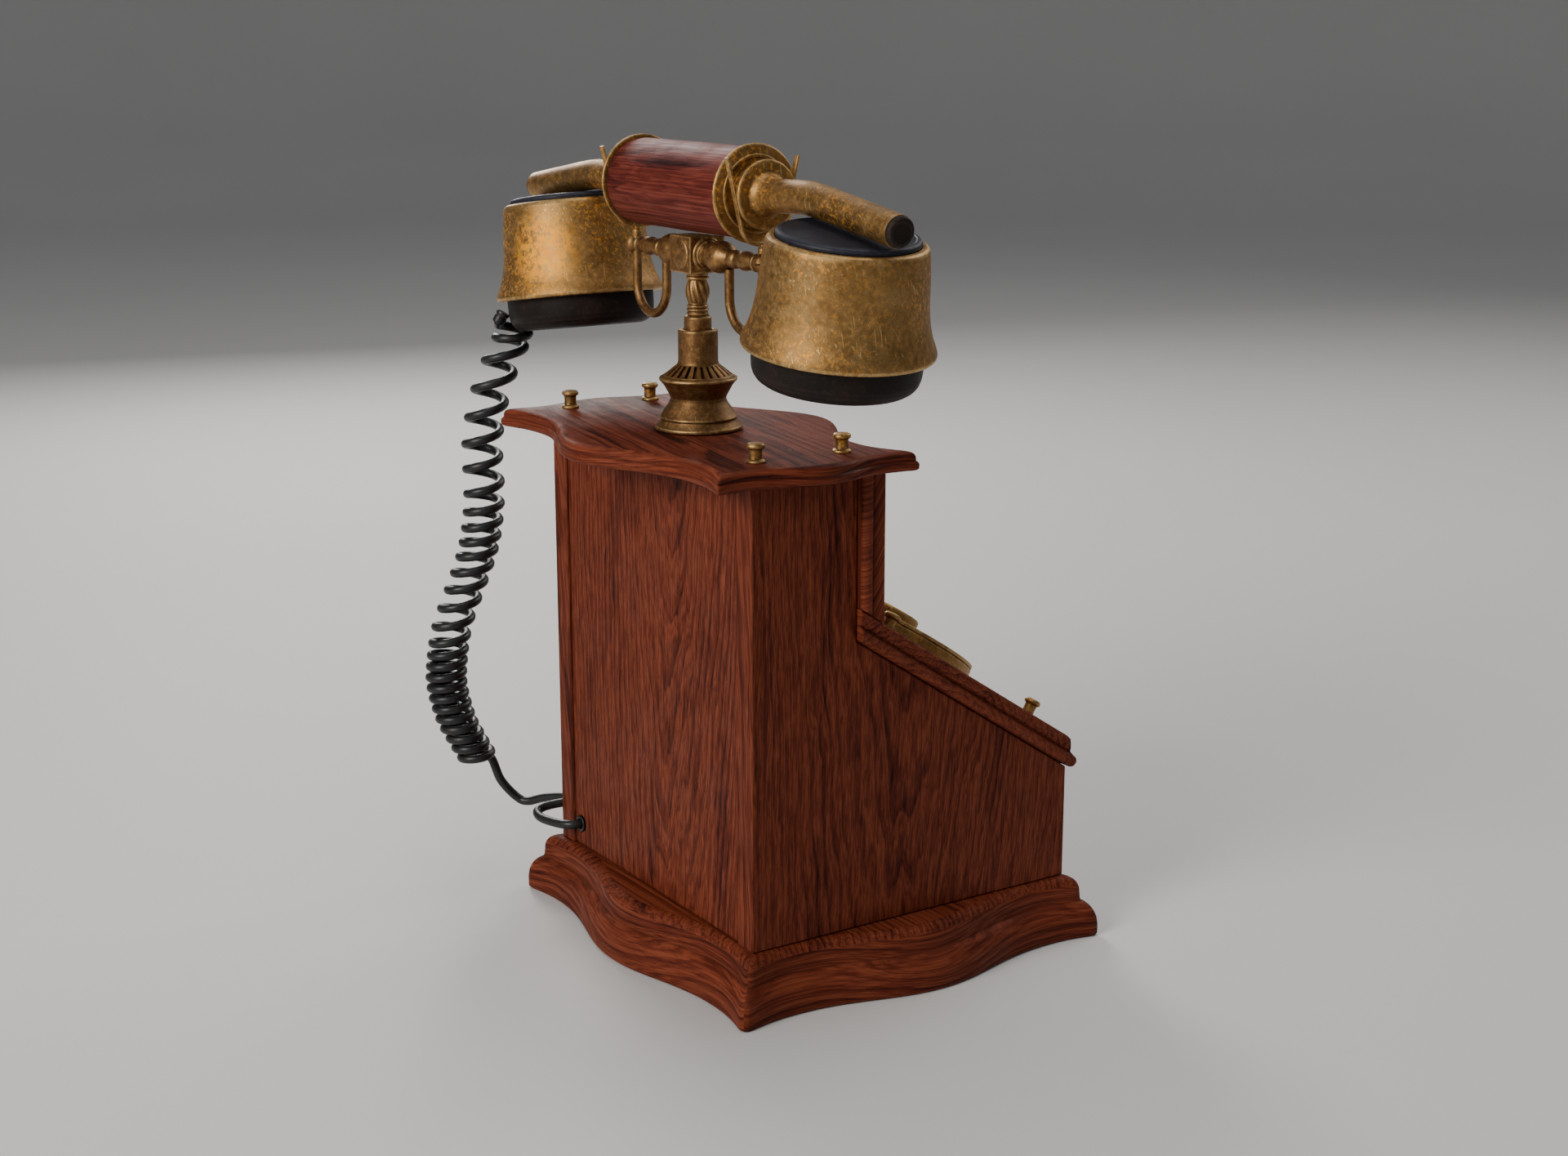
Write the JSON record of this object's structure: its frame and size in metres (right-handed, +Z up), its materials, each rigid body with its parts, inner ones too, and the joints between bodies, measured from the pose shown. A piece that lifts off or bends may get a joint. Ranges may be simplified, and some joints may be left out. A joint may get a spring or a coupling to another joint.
{
  "type": "wall crank telephone",
  "caption": "Free-standing wooden desk telephone with a brass cradle and two-cup handset, a dial on a sloping front, a side crank and a curly cord.",
  "frame": {"origin": "on the table, under the middle of the telephone's box measured without the cord", "axes": "+Z up, front towards -Y, +X to the right seen from the front"},
  "size_m": [0.28, 0.2228, 0.3367],
  "materials": {
    "cabinet_wood": "waxed red mahogany with dark grain",
    "turned_wood": "satin turned mahogany",
    "aged_brass": "aged brass with golden patches, patina and scratches",
    "dark_brass": "dark bronzed brass",
    "gear_brass": "machined brass",
    "bakelite": "worn black bakelite",
    "lid_bakelite": "blue-black bakelite",
    "cord_rubber": "semi-gloss black",
    "enamel": "cream enamel",
    "steel": "plain steel",
    "iron": "black iron",
    "winding": "enamelled copper wire"
  },
  "bodies": {
    "cabinet": {"plinth": "cabinet_wood", "side_panel_left": "cabinet_wood", "side_panel_right": "cabinet_wood", "rear_panel": "cabinet_wood", "lower_front_panel": "cabinet_wood", "upper_front_board": "cabinet_wood", "slope_board": "cabinet_wood", "top_board": "cabinet_wood", "top_knob_rear_left": "aged_brass", "top_knob_rear_right": "aged_brass", "top_knob_front_left": "aged_brass", "top_knob_front_right": "aged_brass", "slope_knob_upper_left": "aged_brass", "slope_knob_upper_right": "aged_brass", "slope_knob_lower_left": "aged_brass", "slope_knob_lower_right": "aged_brass", "cradle_column": "dark_brass", "cord_grommet": "cord_rubber", "cord_coil": "cord_rubber", "cord_cable": "cord_rubber", "dial_housing": "aged_brass", "dial_number_plate": "enamel", "finger_stop": "aged_brass", "dial_bracket": "steel", "crank_bushing": "aged_brass", "magneto_frame": "iron", "magneto_magnet": "iron", "ringer_frame": "iron", "gong_left": "aged_brass", "gong_right": "aged_brass", "terminal_block": "bakelite", "induction_coil": "winding", "hook_switch": "bakelite"},
    "cradle": {"cradle_stem": "dark_brass", "cradle_crossbar": "dark_brass", "cradle_fork_left": "aged_brass", "cradle_fork_right": "aged_brass", "cradle_loop_left": "aged_brass", "cradle_loop_right": "aged_brass"},
    "handset": {"handset_grip": "turned_wood", "handset_arm_left": "aged_brass", "handset_arm_right": "aged_brass", "arm_cap_left": "bakelite", "arm_cap_right": "bakelite", "transmitter_cup": "aged_brass", "receiver_cup": "aged_brass", "transmitter_lid": "lid_bakelite", "receiver_lid": "lid_bakelite", "mouth_cap": "bakelite", "ear_cap": "bakelite", "cord_strain_relief": "cord_rubber"},
    "dial": {"finger_wheel": "aged_brass", "dial_hub_cap": "aged_brass", "dial_gear": "gear_brass"},
    "governor": {"governor": "steel"},
    "crank": {"crank_arm": "dark_brass", "crank_gear": "gear_brass"},
    "crank_knob": {"crank_knob": "turned_wood"},
    "armature": {"magneto_armature": "iron"},
    "clapper": {"clapper": "steel"}
  },
  "joints": [
    {"name": "handset_lift", "type": "slide", "parent": "cabinet", "child": "handset", "axis": [0, 0, 1], "range_m": [0, 0.12]},
    {"name": "cradle_press", "type": "slide", "parent": "cabinet", "child": "cradle", "axis": [0, 0, 1], "range_m": [0, 0.005]},
    {"name": "dial_turn", "type": "hinge", "parent": "cabinet", "child": "dial", "pos_m": [0, -0.04062, 0.11727], "axis": [0, 0.5476, -0.8368], "range_deg": [0, 310], "stiffness_Nm_per_rad": 0.01, "springref_deg": -57.3},
    {"name": "governor_turn", "type": "hinge", "parent": "cabinet", "child": "governor", "pos_m": [-0.019, -0.04062, 0.11727], "axis": [0, 0.5476, -0.8368], "range_deg": [-780, 5]},
    {"name": "crank_turn", "type": "hinge", "parent": "cabinet", "child": "crank", "pos_m": [0.08, -0.018, 0.08], "axis": [1, 0, 0], "continuous": true},
    {"name": "armature_turn", "type": "hinge", "parent": "cabinet", "child": "armature", "pos_m": [0.03, -0.018, 0.0499], "axis": [1, 0, 0], "continuous": true},
    {"name": "crank_knob_spin", "type": "hinge", "parent": "crank", "child": "crank_knob", "pos_m": [0.105, -0.018, 0.038], "axis": [1, 0, 0], "continuous": true},
    {"name": "clapper_swing", "type": "hinge", "parent": "cabinet", "child": "clapper", "pos_m": [0, 0.0522, 0.143], "axis": [0, -1, 0], "range_deg": [-2.5, 2.5]}
  ],
  "couplings": [
    {"joint": "cradle_press", "follows": "handset_lift", "ratio": 0.0416},
    {"joint": "governor_turn", "follows": "dial_turn", "ratio": -2.5},
    {"joint": "armature_turn", "follows": "crank_turn", "ratio": -3}
  ]
}
